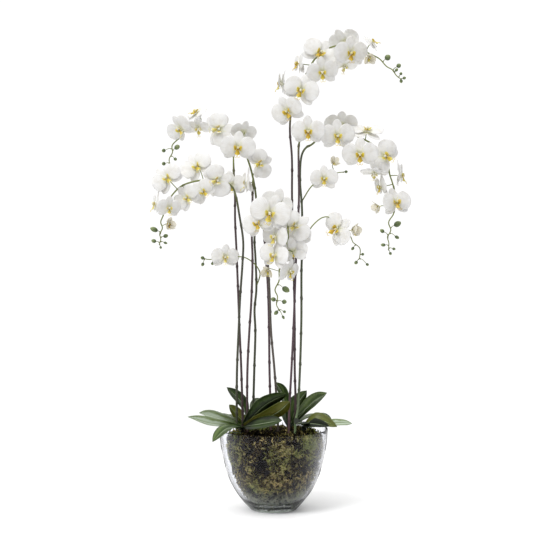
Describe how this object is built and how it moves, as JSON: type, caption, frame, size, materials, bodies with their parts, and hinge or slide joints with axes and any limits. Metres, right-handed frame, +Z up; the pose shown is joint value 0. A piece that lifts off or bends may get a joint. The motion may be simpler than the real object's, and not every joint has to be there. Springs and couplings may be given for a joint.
{
  "type": "moth orchid in vase",
  "caption": "White moth orchid with arching flower sprays, strap leaves and moss in a clear glass bowl vase, standing free as a decorative plant.",
  "frame": {"origin": "middle of the vase's flat base, on the surface it stands on", "axes": "+Z up along the stems, -Y towards the viewer of the picture, +X to that viewer's right"},
  "size_m": [0.782, 0.336, 1.444],
  "materials": {
    "glass": "polished",
    "moss": "matte",
    "leaf": "satin",
    "stem": "satin",
    "petal": "matte"
  },
  "bodies": {
    "root": {"glass_vase": "glass", "moss_fill": "moss", "leaves_left_front": "leaf", "leaves_left_back": "leaf", "leaves_right_front": "leaf", "leaves_right_back": "leaf", "flower_stem_1": "stem", "flower_stem_2": "stem", "flower_stem_3": "stem", "flower_stem_4": "stem", "flower_stem_5": "stem", "flower_stem_6": "stem", "flower_stem_7": "stem", "flower_stem_8": "stem", "flower_stem_9": "stem", "bloom_g1": "petal", "bloom_g2": "petal", "bloom_g3": "petal", "bloom_g4": "petal", "bloom_g5": "petal", "bloom_g6": "petal", "bloom_g7": "petal", "bloom_g8": "petal", "bloom_f1": "petal", "bloom_f2": "petal", "bloom_f7": "petal", "bloom_f8": "petal", "bloom_f3": "petal", "bloom_f4": "petal", "bloom_f5": "petal", "bloom_f6": "petal", "bloom_e1": "petal", "bloom_e2": "petal", "bloom_e3": "petal", "bloom_e4": "petal", "bloom_e6": "petal", "bloom_e7": "petal", "bloom_e8": "petal", "bloom_e10": "petal", "bloom_b1": "petal", "bloom_a0": "petal", "bloom_a1": "petal", "bloom_a2": "petal", "bloom_a3": "petal", "bloom_a4": "petal", "bloom_a5": "petal", "bloom_a7": "petal", "bloom_a8": "petal", "bloom_a9": "petal", "bloom_a10": "petal", "bloom_b2": "petal", "bloom_b3": "petal", "bloom_b4": "petal", "bloom_b5": "petal", "bloom_b6": "petal", "bloom_b7": "petal", "bloom_b8": "petal", "bloom_b9": "petal", "bloom_b10": "petal", "bloom_e5": "petal"}
  },
  "joints": []
}
